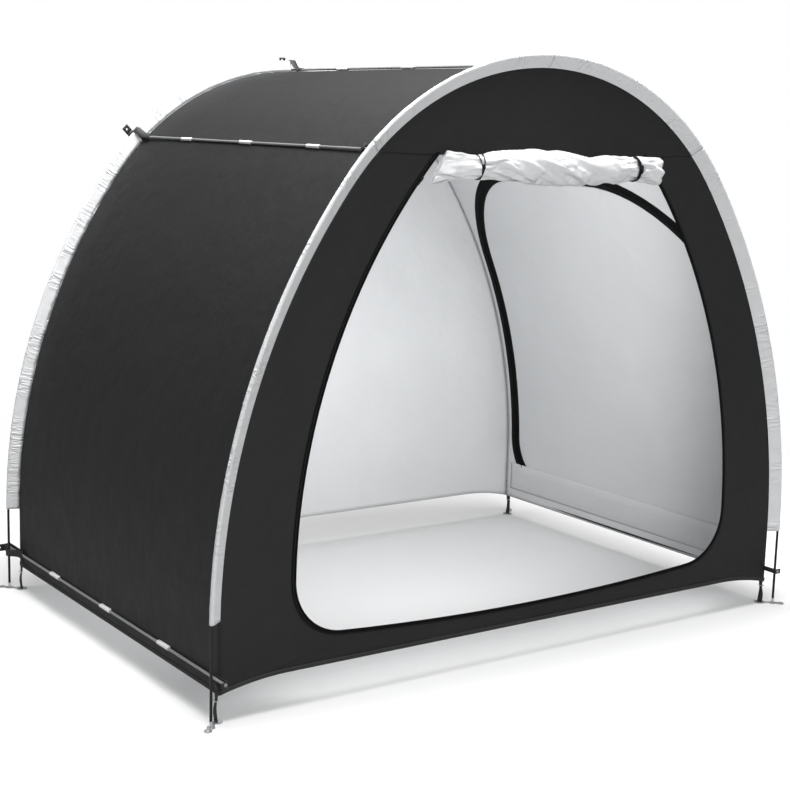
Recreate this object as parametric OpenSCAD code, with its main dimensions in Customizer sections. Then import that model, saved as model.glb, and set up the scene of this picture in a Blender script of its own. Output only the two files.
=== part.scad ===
// Bike shelter: a cloth tent with an arched section, carried by two hoop poles and held apart
// by five straight rods. The front door is rolled up and the right side has a closed zipped door.
// Millimetres. X runs across the doorway, Y from front to rear, Z up from the ground.
// The origin is on the ground, midway between the four feet.

/* [Shelter] */
// Distance between the two legs of a hoop, centre to centre
span = 2000; // [1900:10:2100]
// Height of the pole's centre at the crown
height = 1650; // [1600:5:1700]
// Depth of the cloth body, from the front wall's face to the rear wall's
depth = 1300; // [1200:10:1500]
// Height of the straight legs
leg_h = 240; // [220:5:260]
// How much smaller the crown's radius is than half the span
shoulder = 205; // [190:5:220]

/* [Poles] */
// Diameter of the hoop poles
pole_d = 7.5; // [7:0.5:10]
// Distance from an end wall's face to the pole's centre
pole_out = 15; // [12:1:20]
// Joint gap between two lengths of pole or zip tape
pole_joint = 0.2; // [0.1:0.1:0.5]
// Height of the pole's lower end over the ground
pole_foot = 18; // [14:1:24]
// Diameter of the spreader rods
rod_d = 7; // [6:0.5:8]
// Height of a rod's centre over the cloth
rod_off = 7; // [6.5:0.5:12]
// Height of the lower rods over the ground
low_rod_z = 115; // [105:1:130]
// Place of the upper rods on the crown, as an angle over the horizontal
upper_angle = 45; // [43:1:50]
// Diameter of the pin at each end of a rod
pin_d = 4; // [3:0.5:5]

/* [Cloth] */
// Thickness of the cloth panels
cloth_t = 2; // [1:0.5:3]
// Distance from the pole's centre inwards to the cloth's outer face
cloth_inset = 30; // [28:1:36]
// Height of the cloth's lower corners
hem_z = 72; // [60:1:80]
// Rise of an end wall's lower edge from its corners to its straight middle
hem_rise = 25; // [15:1:30]
// Width of the curved stretch at each end of that edge
hem_end = 200; // [150:5:300]
// Thickness of the pole sleeves
sleeve_t = 1.5; // [1:0.1:2]
// Clearance round a pole in its sleeve, a rod in its loops and a pin in its eyelet
fit_gap = 0.3; // [0.2:0.1:0.5]

/* [Front door] */
// Width of the front wall beside the doorway, low down
jamb_w = 215; // [205:5:270]
// Width of the front wall beside the doorway, at the seam over it
top_jamb_w = 193; // [170:1:220]
// Height at which the doorway is widest
door_turn_z = 330; // [310:5:360]
// Radius of the doorway's lower corners
door_corner_r = 150; // [120:5:160]
// Height of the doorway's lower edge at its middle
door_low_z = 157; // [150:1:162]
// Width of the zip tape round the doorway
zip_w = 15; // [10:1:20]
// Diameter of the rolled-up door
roll_d = 84; // [70:1:90]
// Reach of the rolled-up door past each end of the doorway's top
roll_over = 22; // [10:1:40]
// Distance of each tie in from the ends of the doorway's top
tie_in = 68; // [40:1:100]

/* [Side door] */
// Distance from an end wall's face to the zipped door in the right side
side_door_in = 70; // [70:1:150]
// Drop from the roof's seam to its upper edge
side_door_drop = 116; // [112:1:200]
// Height of its lower edge
side_door_low = 170; // [165:5:200]
// Radius of its upper corner at the front
side_door_front_r = 480; // [400:5:520]
// Radius of its upper corner at the rear
side_door_rear_r = 300; // [200:5:350]
// Radius of its lower corners
side_door_low_r = 140; // [80:5:160]
// Width of the zip band round it
side_zip_w = 44; // [30:1:46]

/* [Straps and feet] */
// Width of the webbing
web_w = 22; // [18:1:24]
// Thickness of the webbing
web_t = 1.6; // [1:0.2:2]
// Length of webbing sewn down at the end of a rod
tab_sewn = 24; // [20:1:40]
// Reach of a rear tab past the rear wall
tab_reach = 78; // [72:1:90]
// Reach of a lower front tab past the front wall
low_tab_reach = 45; // [36:1:60]
// Distance of an upper front tab behind the front wall
top_tab_back = 45; // [4:1:60]
// Length of a loop along its rod
loop_len = 62; // [40:1:80]
// Spacing of the three loops along a rod
loop_step = 358; // [300:1:420]
// Thickness of a foot's steel link
link_t = 3; // [2:0.5:4]
// Width of the link's metal round its eyes
link_rim = 5; // [4:0.5:6]
// Diameter of the eye for the ground peg
eye_d = 11; // [8:0.5:12]
// Distance from the pole's centre out to that eye
eye_out = 24; // [22:1:30]
// Width of the link's bar between its eyes
link_bar = 8; // [6:0.5:9]
// Diameter of the pin under each pole
foot_pin_d = 6; // [5:0.5:7]

/* [Hidden] */
$fa = 1;
$fs = 0.5;
// Fineness of the large arcs
arc_fn = 256;
// A hoop is a straight leg, a wide side bend and a tighter crown, each tangent to the next
crown_r = span / 2 - shoulder;
crown_z = height - crown_r;
side_x = (pow(crown_z - leg_h, 2) - shoulder * shoulder) / (2 * shoulder);
side_r = span / 2 + side_x;
side_sweep = asin((crown_z - leg_h) / (side_r - crown_r));
pole_y = depth / 2 + pole_out;
// The cloth's outer face follows the hoop, and the end walls cover the edges of the roof and sides
cloth_x = span / 2 - cloth_inset;
cloth_r = crown_r - cloth_inset;
seam_z = crown_z + cloth_r * sin(upper_angle);
hem_x = cloth_x - hem_end;
hem_r = (hem_end * hem_end + hem_rise * hem_rise) / (2 * hem_rise);
// Doorway: arcs for the sides and the lower edge, which run tangent into the round corners
door_w = 2 * (cloth_x - jamb_w);
door_top_x = cloth_r * cos(upper_angle) - top_jamb_w;
door_side_rise = seam_z - door_turn_z;
door_side_in = door_w / 2 - door_top_x;
door_r = (door_side_in * door_side_in + door_side_rise * door_side_rise) / (2 * door_side_in);
door_side_x = door_r - door_w / 2;
door_corner_x = door_w / 2 - door_corner_r;
door_rise = door_turn_z - door_low_z;
door_low_r = (door_corner_x * door_corner_x + door_rise * door_rise - door_corner_r * door_corner_r)
    / (2 * (door_rise - door_corner_r));
sill_x = (door_low_r + zip_w) * door_corner_x / (door_low_r - door_corner_r);
roll_len = 2 * (door_top_x + roll_over);
tie_x = door_top_x - tie_in;
roll_y = depth / 2 + fit_gap + roll_d / 2;
roll_z = seam_z - roll_d / 2 + 4;
side_door_w = depth - 2 * side_door_in;
side_door_top = seam_z - side_door_drop;
// A rod ends in a step just short of its upturned tab, and its pin goes through the tab's eyelet
pin_len = 1.5 * pin_d;
rear_tab_y = depth / 2 + tab_reach;
low_tab_y = depth / 2 + low_tab_reach;
top_tab_y = depth / 2 - top_tab_back;
// The rear sleeves stop short of the rods, so that the tabs pass between them
sleeve_gap = asin((web_w / 2 + 3) / crown_r);
sleeve_joint = asin(pole_joint / crown_r);
strap_x = cloth_x + web_t / 2;
strap_y = depth / 2 - cloth_t - web_w / 2;
strap_top = low_rod_z - web_w / 2 - 5;
cloth_grey = [0.26, 0.27, 0.28];
silver = [0.8, 0.81, 0.82];

// Sweeps along the right half of a hoop: the profile's x is outwards from the pole's line, its y to the front
module along_leg(low, high) {
    translate([span / 2, 0, low]) linear_extrude(high - low) mirror([0, 1]) children();
}

module along_side(from, to) {
    translate([-side_x, 0, leg_h]) rotate([90, 0, 0]) rotate([0, 0, from])
        rotate_extrude(angle = to - from, $fn = arc_fn) translate([side_r, 0]) children();
}

module along_crown(from, to) {
    translate([0, 0, crown_z]) rotate([90, 0, 0]) rotate([0, 0, from])
        rotate_extrude(angle = to - from, $fn = arc_fn) translate([crown_r, 0]) children();
}

module left() {
    mirror([1, 0, 0]) children();
}

module rear() {
    mirror([0, 1, 0]) children();
}

// Puts an upright outline on the front wall, with its outer face at the front of the cloth
module front_panel() {
    translate([0, cloth_t - depth / 2, 0]) rotate([90, 0, 0]) linear_extrude(cloth_t) children();
}

// Frames whose x is outwards from the cloth, at the foot of a rod
module on_crown(angle) {
    translate([0, 0, crown_z]) rotate([0, -angle, 0]) translate([cloth_r, 0, 0]) children();
}

module on_side() {
    translate([cloth_x, 0, low_rod_z]) children();
}

module at_crown_rods() {
    for (angle = [upper_angle, 90, 180 - upper_angle]) on_crown(angle) children();
}

module at_low_rods() {
    on_side() children();
    left() on_side() children();
}

module pole_profile() {
    translate([0, pole_y]) circle(d = pole_d);
}

// Nine tube sections of a hoop, butted end to end
module hoop_pole() {
    side_cut = pole_joint / 2 / side_r * 180 / PI;
    crown_cut = pole_joint / 2 / crown_r * 180 / PI;
    crown_step = (180 - 2 * side_sweep) / 3;
    color([0.07, 0.07, 0.08]) {
        for (m = [0, 1]) mirror([m, 0, 0]) {
            along_leg(pole_foot, leg_h - pole_joint / 2) pole_profile();
            for (k = [0, 1])
                along_side(side_sweep * k / 2 + side_cut, side_sweep * (k + 1) / 2 - side_cut) pole_profile();
        }
        for (k = [0:2])
            along_crown(side_sweep + crown_step * k + crown_cut, side_sweep + crown_step * (k + 1) - crown_cut)
                pole_profile();
    }
}

// A straight rod along Y from its front tab to its rear tab, stepped down to a pin at each end
module rod(front_y) {
    shoulder = web_t + fit_gap;
    color([0.45, 0.46, 0.47]) translate([rod_off, -front_y, 0]) rotate([-90, 0, 0]) {
        translate([0, 0, shoulder]) cylinder(d = rod_d, h = front_y + rear_tab_y - 2 * shoulder);
        translate([0, 0, -pin_len]) cylinder(d = pin_d, h = front_y + rear_tab_y + 2 * pin_len);
    }
}

// Webbing sewn down behind an end wall and turned up at a distance y, with an eyelet for the rod's pin
module rod_tab(y) {
    sewn_y = min(y, depth / 2) - tab_sewn;
    color([0.06, 0.06, 0.07]) translate([0, -y, 0]) difference() {
        union() {
            translate([0, 0, -web_w / 2]) cube([web_t, y - sewn_y, web_w]);
            translate([0, 0, -web_w / 2]) cube([rod_off, web_t, web_w]);
            intersection() {
                translate([rod_off, 0, 0]) rotate([-90, 0, 0]) cylinder(d = web_w, h = web_t);
                translate([rod_off, 0, -web_w / 2]) cube([web_w / 2, web_t, web_w]);
            }
        }
        translate([rod_off, 0, 0]) rotate([90, 0, 0])
            cylinder(d = pin_d + 2 * fit_gap, h = 4 * web_t, center = true);
    }
}

module front_rod_tabs() {
    at_crown_rods() rod_tab(top_tab_y);
    at_low_rods() rod_tab(low_tab_y);
}

module rear_rod_tabs() {
    rear() at_crown_rods() rod_tab(rear_tab_y);
    rear() at_low_rods() rod_tab(rear_tab_y);
}

// Three cloth loops along a rod, each a tunnel on a sewn fin
module rod_loops() {
    loop_in = rod_d / 2 + fit_gap;
    loop_out = loop_in + sleeve_t;
    color([0.92, 0.92, 0.92]) for (k = [-1:1]) translate([0, k * loop_step + loop_len / 2, 0])
        rotate([90, 0, 0]) linear_extrude(loop_len) difference() {
            union() {
                translate([rod_off, 0]) circle(loop_out);
                translate([0, -sleeve_t / 2]) square([rod_off, sleeve_t]);
            }
            translate([rod_off, 0]) circle(loop_in);
        }
}

// Steel link at a rear right foot: a peg eye, a slot for the strap, and the pin under the pole
module foot() {
    eye = eye_out * [cos(45), sin(45)];
    slot = [strap_x - span / 2, strap_y - pole_y];
    slot_d = web_w + 2 * fit_gap + 2 * link_rim;
    bar = norm(slot);
    color([0.72, 0.73, 0.75]) translate([span / 2, pole_y, 0]) {
        difference() {
            union() {
                cylinder(d = eye_d + 2 * link_rim, h = link_t);
                translate(eye) cylinder(d = eye_d + 2 * link_rim, h = link_t);
                translate(slot) cylinder(d = slot_d, h = link_t);
                rotate([0, 0, 45]) translate([0, -link_bar / 2, 0]) cube([eye_out, link_bar, link_t]);
                rotate([0, 0, atan2(slot[1], slot[0])]) translate([0, -link_bar / 2, 0])
                    cube([bar, link_bar, link_t]);
            }
            translate([eye[0], eye[1], -1]) cylinder(d = eye_d, h = link_t + 2);
            translate([slot[0] - web_t / 2 - fit_gap, slot[1] - web_w / 2 - fit_gap, -1])
                cube([web_t + 2 * fit_gap, web_w + 2 * fit_gap, link_t + 2]);
        }
        cylinder(d = foot_pin_d, h = pole_foot);
        translate([0, 0, pole_foot - link_t]) cylinder(d = pole_d + 2, h = link_t);
    }
}

// Webbing from a rear right corner of the cloth down through the slot of the foot's link
module corner_strap() {
    color([0.06, 0.06, 0.07]) translate([cloth_x, strap_y - web_w / 2, link_t / 3])
        cube([web_t, web_w, strap_top - link_t / 3]);
}

module sheet_profile() {
    translate([-cloth_inset - cloth_t, cloth_t - depth / 2]) square([cloth_t, depth - 2 * cloth_t]);
}

module side_sheet() {
    along_leg(hem_z, leg_h) sheet_profile();
    along_side(0, side_sweep) sheet_profile();
    along_crown(side_sweep, upper_angle) sheet_profile();
}

module roof_sheet() {
    color(cloth_grey) along_crown(upper_angle, 180 - upper_angle) sheet_profile();
}

// Outline of the side door in Y and Z, grown by a margin all round; its front is at the left
module side_door_outline(grow) {
    half = side_door_w / 2;
    low_z = side_door_low + side_door_low_r;
    front = [side_door_front_r - half, side_door_top - side_door_front_r];
    rear = [half - side_door_rear_r, side_door_top - side_door_rear_r];
    translate([-half - grow, low_z]) square([2 * (half + grow), front[1] - low_z]);
    translate([front[0], front[1]]) square([half + grow - front[0], rear[1] - front[1]]);
    translate([front[0], rear[1]]) square([rear[0] - front[0], side_door_top + grow - rear[1]]);
    translate([side_door_low_r - half, side_door_low - grow])
        square([2 * (half - side_door_low_r), side_door_low_r + grow]);
    translate(front) circle(side_door_front_r + grow, $fn = arc_fn);
    translate(rear) circle(side_door_rear_r + grow, $fn = arc_fn);
    for (m = [-1, 1]) translate([m * (half - side_door_low_r), low_z]) circle(side_door_low_r + grow);
}

module side_door_cut(grow) {
    rotate([90, 0, 90]) linear_extrude(span) side_door_outline(grow);
}

module right_side_sheet() {
    color(cloth_grey) difference() {
        side_sheet();
        side_door_cut(side_zip_w);
    }
}

module right_side_door() {
    color(cloth_grey) intersection() {
        side_sheet();
        side_door_cut(0);
    }
}

module right_side_zip() {
    color([0.05, 0.05, 0.05]) intersection() {
        side_sheet();
        difference() {
            side_door_cut(side_zip_w);
            side_door_cut(0);
        }
    }
}

// A tube round the pole with a tail that is sewn to the edge of the front wall
module sleeve_profile() {
    ring_in = pole_d / 2 + fit_gap;
    ring_out = ring_in + sleeve_t;
    lean = atan2(pole_out, cloth_inset);
    tail_mid = ring_in + sleeve_t / 2;
    difference() {
        union() {
            translate([0, pole_y]) circle(ring_out);
            polygon([
                [-cloth_inset - 2 * cloth_t, depth / 2],
                [-cloth_inset, depth / 2],
                [-tail_mid * cos(lean) + sleeve_t / 2 * sin(lean),
                    pole_y - tail_mid * sin(lean) - sleeve_t / 2 * cos(lean)],
                [-tail_mid * cos(lean) - sleeve_t / 2 * sin(lean),
                    pole_y - tail_mid * sin(lean) + sleeve_t / 2 * cos(lean)]
            ]);
        }
        translate([0, pole_y]) circle(ring_in);
    }
}

module side_sleeve() {
    color(silver) along_side(0, side_sweep) sleeve_profile();
}

// The crown's half, parted by a gap at each rod
module crown_sleeve(gap) {
    color(silver) {
        along_crown(side_sweep + sleeve_joint, upper_angle - gap) sleeve_profile();
        along_crown(upper_angle + gap, 90 - gap) sleeve_profile();
    }
}

// Outline of an end wall: the hoop's arch set in to the cloth's face, over an arched lower edge
module wall_outline() {
    join_z = leg_h + (side_r - cloth_inset) * sin(side_sweep);
    difference() {
        union() {
            translate([-cloth_x, hem_z]) square([2 * cloth_x, leg_h - hem_z]);
            intersection() {
                both_side_arcs();
                translate([-cloth_x, leg_h]) square([2 * cloth_x, join_z - leg_h]);
            }
            intersection() {
                translate([0, crown_z]) circle(cloth_r, $fn = arc_fn);
                translate([-cloth_x, join_z]) square([2 * cloth_x, height]);
            }
        }
        translate([-hem_x, 0]) square([2 * hem_x, hem_z + hem_rise]);
        for (m = [-1, 1]) translate([m * hem_x, hem_z + hem_rise - hem_r]) circle(hem_r, $fn = arc_fn);
    }
}

module both_side_arcs() {
    intersection() {
        translate([-side_x, leg_h]) circle(side_r - cloth_inset, $fn = arc_fn);
        translate([side_x, leg_h]) circle(side_r - cloth_inset, $fn = arc_fn);
    }
}

module lower_wall_outline() {
    intersection() {
        wall_outline();
        translate([-span / 2, 0]) square([span, seam_z]);
    }
}

module gable() {
    color(cloth_grey) front_panel() intersection() {
        wall_outline();
        translate([-span / 2, seam_z]) square([span, height]);
    }
}

// Beside the doorway's side edge, and below that round its lower corner
module right_jamb() {
    color(cloth_grey) front_panel() {
        difference() {
            intersection() {
                lower_wall_outline();
                translate([0, door_turn_z]) square([span, seam_z]);
            }
            translate([-door_side_x, door_turn_z]) circle(door_r + zip_w, $fn = arc_fn);
        }
        difference() {
            intersection() {
                lower_wall_outline();
                translate([sill_x, 0]) square([span, door_turn_z]);
            }
            translate([door_corner_x, door_turn_z]) circle(door_corner_r + zip_w);
        }
    }
}

module front_sill() {
    color(cloth_grey) front_panel() difference() {
        intersection() {
            lower_wall_outline();
            translate([-sill_x, 0]) square([2 * sill_x, door_turn_z]);
        }
        translate([0, door_low_z + door_low_r]) circle(door_low_r + zip_w, $fn = arc_fn);
    }
}

// A length of zip tape on an arc in the front wall, butted to the next
module zip_arc(centre, r, from, to) {
    cut = pole_joint / 2 / r * 180 / PI;
    translate([centre[0], cloth_t - depth / 2, centre[1]]) rotate([90, 0, 0]) rotate([0, 0, from + cut])
        rotate_extrude(angle = to - from - 2 * cut, $fn = arc_fn) translate([r, 0]) square([zip_w, cloth_t]);
}

module front_zip() {
    slope = atan2(door_corner_x, door_low_r - door_rise);
    top = asin((seam_z - door_turn_z) / (door_r + zip_w));
    color([0.05, 0.05, 0.05]) for (m = [0, 1]) mirror([m, 0, 0]) {
        zip_arc([-door_side_x, door_turn_z], door_r, 0, top);
        zip_arc([door_corner_x, door_turn_z], door_corner_r, slope - 90, 0);
        zip_arc([0, door_low_z + door_low_r], door_low_r, -90, slope - 90);
    }
}

// The door cloth rolled up under the gable, hung from a strip sewn over the seam
module front_door_roll() {
    color([0.9, 0.9, 0.9]) {
        translate([0, -roll_y, roll_z]) rotate([0, 90, 0]) cylinder(d = roll_d, h = roll_len, center = true);
        translate([-door_top_x, -depth / 2 - cloth_t, roll_z]) cube([2 * door_top_x, cloth_t, roll_d / 2 + cloth_t]);
    }
}

// Webbing bands round the roll, open behind where the door cloth hangs down
module front_door_ties() {
    tie_w = web_w / 2;
    tie_in = roll_d / 2 + fit_gap;
    color([0.06, 0.06, 0.07]) for (m = [-1, 1]) difference() {
        translate([m * tie_x, -roll_y, roll_z]) rotate([0, 90, 0]) difference() {
            cylinder(r = tie_in + web_t, h = tie_w, center = true);
            cylinder(r = tie_in, h = 2 * tie_w, center = true);
        }
        translate([m * tie_x - tie_w, -depth / 2 - cloth_t - fit_gap, roll_z - roll_d])
            cube([2 * tie_w, roll_d, 2 * roll_d]);
    }
}

module rear_wall() {
    color(cloth_grey) rear() front_panel() lower_wall_outline();
}

hoop_pole();  // front_hoop_pole
rear() hoop_pole();  // rear_hoop_pole
on_crown(90) rod(top_tab_y);  // ridge_rod
on_crown(180 - upper_angle) rod(top_tab_y);  // upper_left_rod
on_crown(upper_angle) rod(top_tab_y);  // upper_right_rod
left() on_side() rod(low_tab_y);  // lower_left_rod
on_side() rod(low_tab_y);  // lower_right_rod
front_rod_tabs();
rear_rod_tabs();
rear() left() foot();  // front_left_foot
rear() foot();  // front_right_foot
left() foot();  // rear_left_foot
foot();  // rear_right_foot
rear() left() corner_strap();  // front_left_strap
rear() corner_strap();  // front_right_strap
left() corner_strap();  // rear_left_strap
corner_strap();  // rear_right_strap
color(cloth_grey) left() side_sheet();  // left_side_sheet
roof_sheet();
right_side_sheet();
right_side_door();
right_side_zip();
left() side_sleeve();  // front_left_sleeve
side_sleeve();  // front_right_sleeve
left() crown_sleeve(sleeve_joint);  // front_crown_left_sleeve
crown_sleeve(sleeve_joint);  // front_crown_right_sleeve
rear() left() side_sleeve();  // rear_left_sleeve
rear() side_sleeve();  // rear_right_sleeve
rear() left() crown_sleeve(sleeve_gap);  // rear_crown_left_sleeve
rear() crown_sleeve(sleeve_gap);  // rear_crown_right_sleeve
gable();  // front_gable
left() right_jamb();  // front_left_jamb
right_jamb();  // front_right_jamb
front_sill();
front_zip();
front_door_roll();
front_door_ties();
rear() gable();  // rear_gable
rear_wall();
on_crown(90) rod_loops();  // ridge_loops
on_crown(180 - upper_angle) rod_loops();  // upper_left_loops
on_crown(upper_angle) rod_loops();  // upper_right_loops
left() on_side() rod_loops();  // lower_left_loops
on_side() rod_loops();  // lower_right_loops
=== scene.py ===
import math

import bmesh
import bpy
from mathutils import Matrix, Vector, noise


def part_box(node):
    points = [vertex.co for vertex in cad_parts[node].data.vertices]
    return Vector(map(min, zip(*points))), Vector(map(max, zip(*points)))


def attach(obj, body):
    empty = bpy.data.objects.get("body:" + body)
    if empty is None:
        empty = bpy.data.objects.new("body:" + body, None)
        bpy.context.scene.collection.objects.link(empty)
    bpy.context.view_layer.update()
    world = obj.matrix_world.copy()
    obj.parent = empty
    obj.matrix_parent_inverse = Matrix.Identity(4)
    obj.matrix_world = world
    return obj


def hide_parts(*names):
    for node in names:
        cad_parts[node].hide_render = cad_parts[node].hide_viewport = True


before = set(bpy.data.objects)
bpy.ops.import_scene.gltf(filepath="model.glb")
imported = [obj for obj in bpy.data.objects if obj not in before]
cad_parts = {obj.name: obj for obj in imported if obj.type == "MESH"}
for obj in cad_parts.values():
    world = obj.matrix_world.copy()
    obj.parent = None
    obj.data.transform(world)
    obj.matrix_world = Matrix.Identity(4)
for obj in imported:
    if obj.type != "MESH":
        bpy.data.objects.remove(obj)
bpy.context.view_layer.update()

# Hoop poles
# Two black hoops of nine fibreglass tube sections each, pushed end to end and standing on steel pins.
# Only their legs are bare, below the cloth sleeves, where the gloss and the glass threads show.


class Wire:
    """A shader socket that takes part in sums, so that a finish can be written as an expression."""

    def __init__(self, socket):
        self.socket = socket

    def node(self, kind, settings=None, inputs=None, out=0):
        tree = self.socket.id_data
        made = tree.nodes.new(kind)
        for key, value in (settings or {}).items():
            setattr(made, key, value)
        for key, value in (inputs or {}).items():
            if isinstance(value, Wire):
                tree.links.new(value.socket, made.inputs[key])
            else:
                made.inputs[key].default_value = value
        return Wire(made.outputs[out])

    def math(self, operation, other=0.0, flip=False):
        first, second = (other, self) if flip else (self, other)
        return self.node("ShaderNodeMath", {"operation": operation}, {0: first, 1: second})

    def __add__(self, other):
        return self.math("ADD", other)

    def __sub__(self, other):
        return self.math("SUBTRACT", other)

    def __mul__(self, other):
        return self.math("MULTIPLY", other)

    def __rsub__(self, other):
        return self.math("SUBTRACT", other, flip=True)

    __radd__ = __add__
    __rmul__ = __mul__

    def tint(self, low, high):
        """The colour low where the wire is 0 and high where it is 1."""
        ends = {0: self, 6: (*low, 1), 7: (*high, 1)}
        return self.node("ShaderNodeMix", {"data_type": "RGBA"}, ends, out=2)

    def stretched(self, scale):
        return self.node("ShaderNodeMapping", None, {"Vector": self, "Scale": scale})

    def cloud(self, scale, detail=3.0):
        return self.node("ShaderNodeTexNoise", None, {"Vector": self, "Scale": scale, "Detail": detail})

    def part(self, axis):
        return self.node("ShaderNodeSeparateXYZ", None, {"Vector": self}, out=axis)

    def relief(self, distance, strength=1.0):
        """A bump of the wire's height, for the Normal socket."""
        sockets = {"Height": self, "Distance": distance, "Strength": strength}
        return self.node("ShaderNodeBump", None, sockets)


def finish(name, coordinates, constants):
    """A new material, its shader, and a wire of the coordinates that its pattern follows."""
    made = bpy.data.materials.new(name)
    made.use_nodes = True
    shader = made.node_tree.nodes["Principled BSDF"]
    for key, value in constants.items():
        shader.inputs[key].default_value = value
    place = made.node_tree.nodes.new("ShaderNodeTexCoord").outputs[coordinates]
    return made, shader, Wire(place)


def feed(shader, **wires):
    for key, wire in wires.items():
        shader.id_data.links.new(wire.socket, shader.inputs[key.replace("_", " ").title()])


def paint(nodes, material):
    for name in nodes:
        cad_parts[name].material_slots[0].material = material


pole_black, shader, place = finish("black_resin", "Object", {"Specular IOR Level": 0.3})
threads = place.stretched((900, 900, 14)).cloud(scale=1.0)
scuffs = place.cloud(scale=40.0, detail=6.0)
feed(
    shader,
    base_color=threads.tint((0.003, 0.003, 0.0035), (0.010, 0.010, 0.011)),
    roughness=0.22 + 0.25 * scuffs.math("POWER", 3.0),
    normal=threads.relief(distance=0.0002, strength=0.4),
)
paint(["front_hoop_pole", "rear_hoop_pole"], pole_black)

# Canopy
# One length of charcoal coated polyester from hem to hem over the ridge, silver inside. It is sewn to the
# end walls along both hoops and held out by the rods, so it hangs a little hollow between them.
SPAN = 2.0
HEIGHT = 1.65
LEG_H = 0.24
SIDE_R = 1.82
CLOTH_INSET = 0.030
HEM_Z = 0.072
HALF_DEPTH = 0.650
UPPER_ANGLE = math.radians(45)
LOW_ROD_Z = 0.115
SIDE_X = SIDE_R - SPAN / 2
SIDE_SWEEP = math.pi / 2 - 2 * math.atan((SIDE_R - HEIGHT + LEG_H) / SIDE_X)
CROWN_R = SIDE_R - SIDE_X / math.cos(SIDE_SWEEP)
CROWN_Z = HEIGHT - CROWN_R
CLOTH_T = 0.0008
MIDDLE = Vector((0, 0, 0.6))


def arch(run, inset):
    """A point on the arch at a distance from the ridge, set in from the pole, and its outward way."""
    crown, side = CROWN_R - inset, SIDE_R - inset
    crown_run = crown * (math.pi / 2 - SIDE_SWEEP)
    way, turn = abs(run), math.copysign(1, run)
    if way <= crown_run:
        angle = math.pi / 2 - way / crown
        x, z = crown * math.cos(angle), CROWN_Z + crown * math.sin(angle)
    elif way <= crown_run + side * SIDE_SWEEP:
        angle = SIDE_SWEEP - (way - crown_run) / side
        x, z = side * math.cos(angle) - SIDE_X, LEG_H + side * math.sin(angle)
    else:
        angle = 0.0
        x, z = SPAN / 2 - inset, LEG_H - (way - crown_run - side * SIDE_SWEEP)
    return Vector((turn * x, 0, z)), Vector((turn * math.cos(angle), 0, math.sin(angle)))


def run_to_leg(inset):
    return (CROWN_R - inset) * (math.pi / 2 - SIDE_SWEEP) + (SIDE_R - inset) * SIDE_SWEEP


def run_at(z, inset):
    """The distance along the arch from the ridge down to a height on the side bend or the leg."""
    if z < LEG_H:
        return run_to_leg(inset) + LEG_H - z
    return run_to_leg(inset) - (SIDE_R - inset) * math.asin((z - LEG_H) / (SIDE_R - inset))


def wrinkles(point, size, broad, finer=1.0, fine=0.0):
    """The height of broad waves of a size at a point, and of finer ones over them."""
    return noise.noise(point / size) * broad + noise.noise(point * finer / size) * fine


def panel(columns, rows, place, cut, facing=MIDDLE):
    """A cloth panel: a grid laid out by place, with faces away from a middle and UV in metres of the cut."""
    bm = bmesh.new()
    bmesh.ops.create_grid(bm, x_segments=columns, y_segments=rows, size=1)
    uv = bm.loops.layers.uv.new("cut")
    for face in bm.faces:
        for loop in face.loops:
            loop[uv].uv = ((loop.vert.co.x + 1) / 2 * cut[0], (loop.vert.co.y + 1) / 2 * cut[1])
    for vert in bm.verts:
        vert.co = place((vert.co.x + 1) / 2, (vert.co.y + 1) / 2)
    bmesh.ops.remove_doubles(bm, verts=bm.verts, dist=1e-5)
    bm.normal_update()
    if sum(f.normal.dot(f.calc_center_median() - facing) * f.calc_area() for f in bm.faces) < 0:
        bmesh.ops.reverse_faces(bm, faces=bm.faces)
    return bm


def cloth_area(faces):
    return sum(face.calc_area() for face in faces)


def stand(name, bm, materials, nodes=(), turn_out=False):
    """Makes a mesh's object, rides it on the shelter, gives it its finishes and hides the nodes it stands
    for.
    """
    if turn_out:
        bmesh.ops.recalc_face_normals(bm, faces=bm.faces)
    mesh = bpy.data.meshes.new(name)
    bm.to_mesh(mesh)
    bm.free()
    mesh.shade_smooth()
    piece = bpy.data.objects.new(name, mesh)
    bpy.context.scene.collection.objects.link(piece)
    for material in materials:
        mesh.materials.append(material)
    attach(piece, "root")
    if nodes:
        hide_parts(*nodes)
    return piece


def thicken(piece, thickness=CLOTH_T):
    """Gives a panel its thickness inwards, with its second finish on the inside."""
    wall = piece.modifiers.new("thickness", "SOLIDIFY")
    wall.thickness = thickness
    wall.offset = -1
    wall.material_offset = len(piece.data.materials) - 1


THREAD_PITCH = 0.0012
THREAD_RELIEF = 0.015
FOLD_SLANT = 0.3
GATHER_FROM = 0.42


def woven(name, dark, light, rough, relief, constants=None, folds=(1, 1, 0.0)):
    """A woven cloth with its threads along the cut, soft dents, slight changes of shade, and gathered folds.

    The folds are given as how many to a metre across and along the cut, and their depth.
    """
    made, shader, cut = finish(name, "UV", constants or {})
    warp = (cut.part(0) * (2 * math.pi / THREAD_PITCH)).math("SINE")
    weft = (cut.part(1) * (2 * math.pi / THREAD_PITCH)).math("SINE")
    shade = cut.cloud(scale=3.0, detail=5.0)
    dents = cut.cloud(scale=14.0, detail=4.0)
    slanted = {"Vector": cut, "Rotation": (0, 0, FOLD_SLANT), "Scale": (folds[0], folds[1], 1)}
    slant = cut.node("ShaderNodeMapping", None, slanted)
    gathered = (cut.cloud(scale=9.0, detail=1.0) - GATHER_FROM).math("MAXIMUM", 0.0) * (4 * folds[2])
    creases = (slant.cloud(scale=1.0, detail=2.0) - 0.5).math("ABSOLUTE") * gathered
    feed(
        shader,
        base_color=shade.tint(dark, light),
        roughness=rough + 0.12 * dents,
        normal=(warp * weft * THREAD_RELIEF + dents + creases).relief(relief),
    )
    return made


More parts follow.
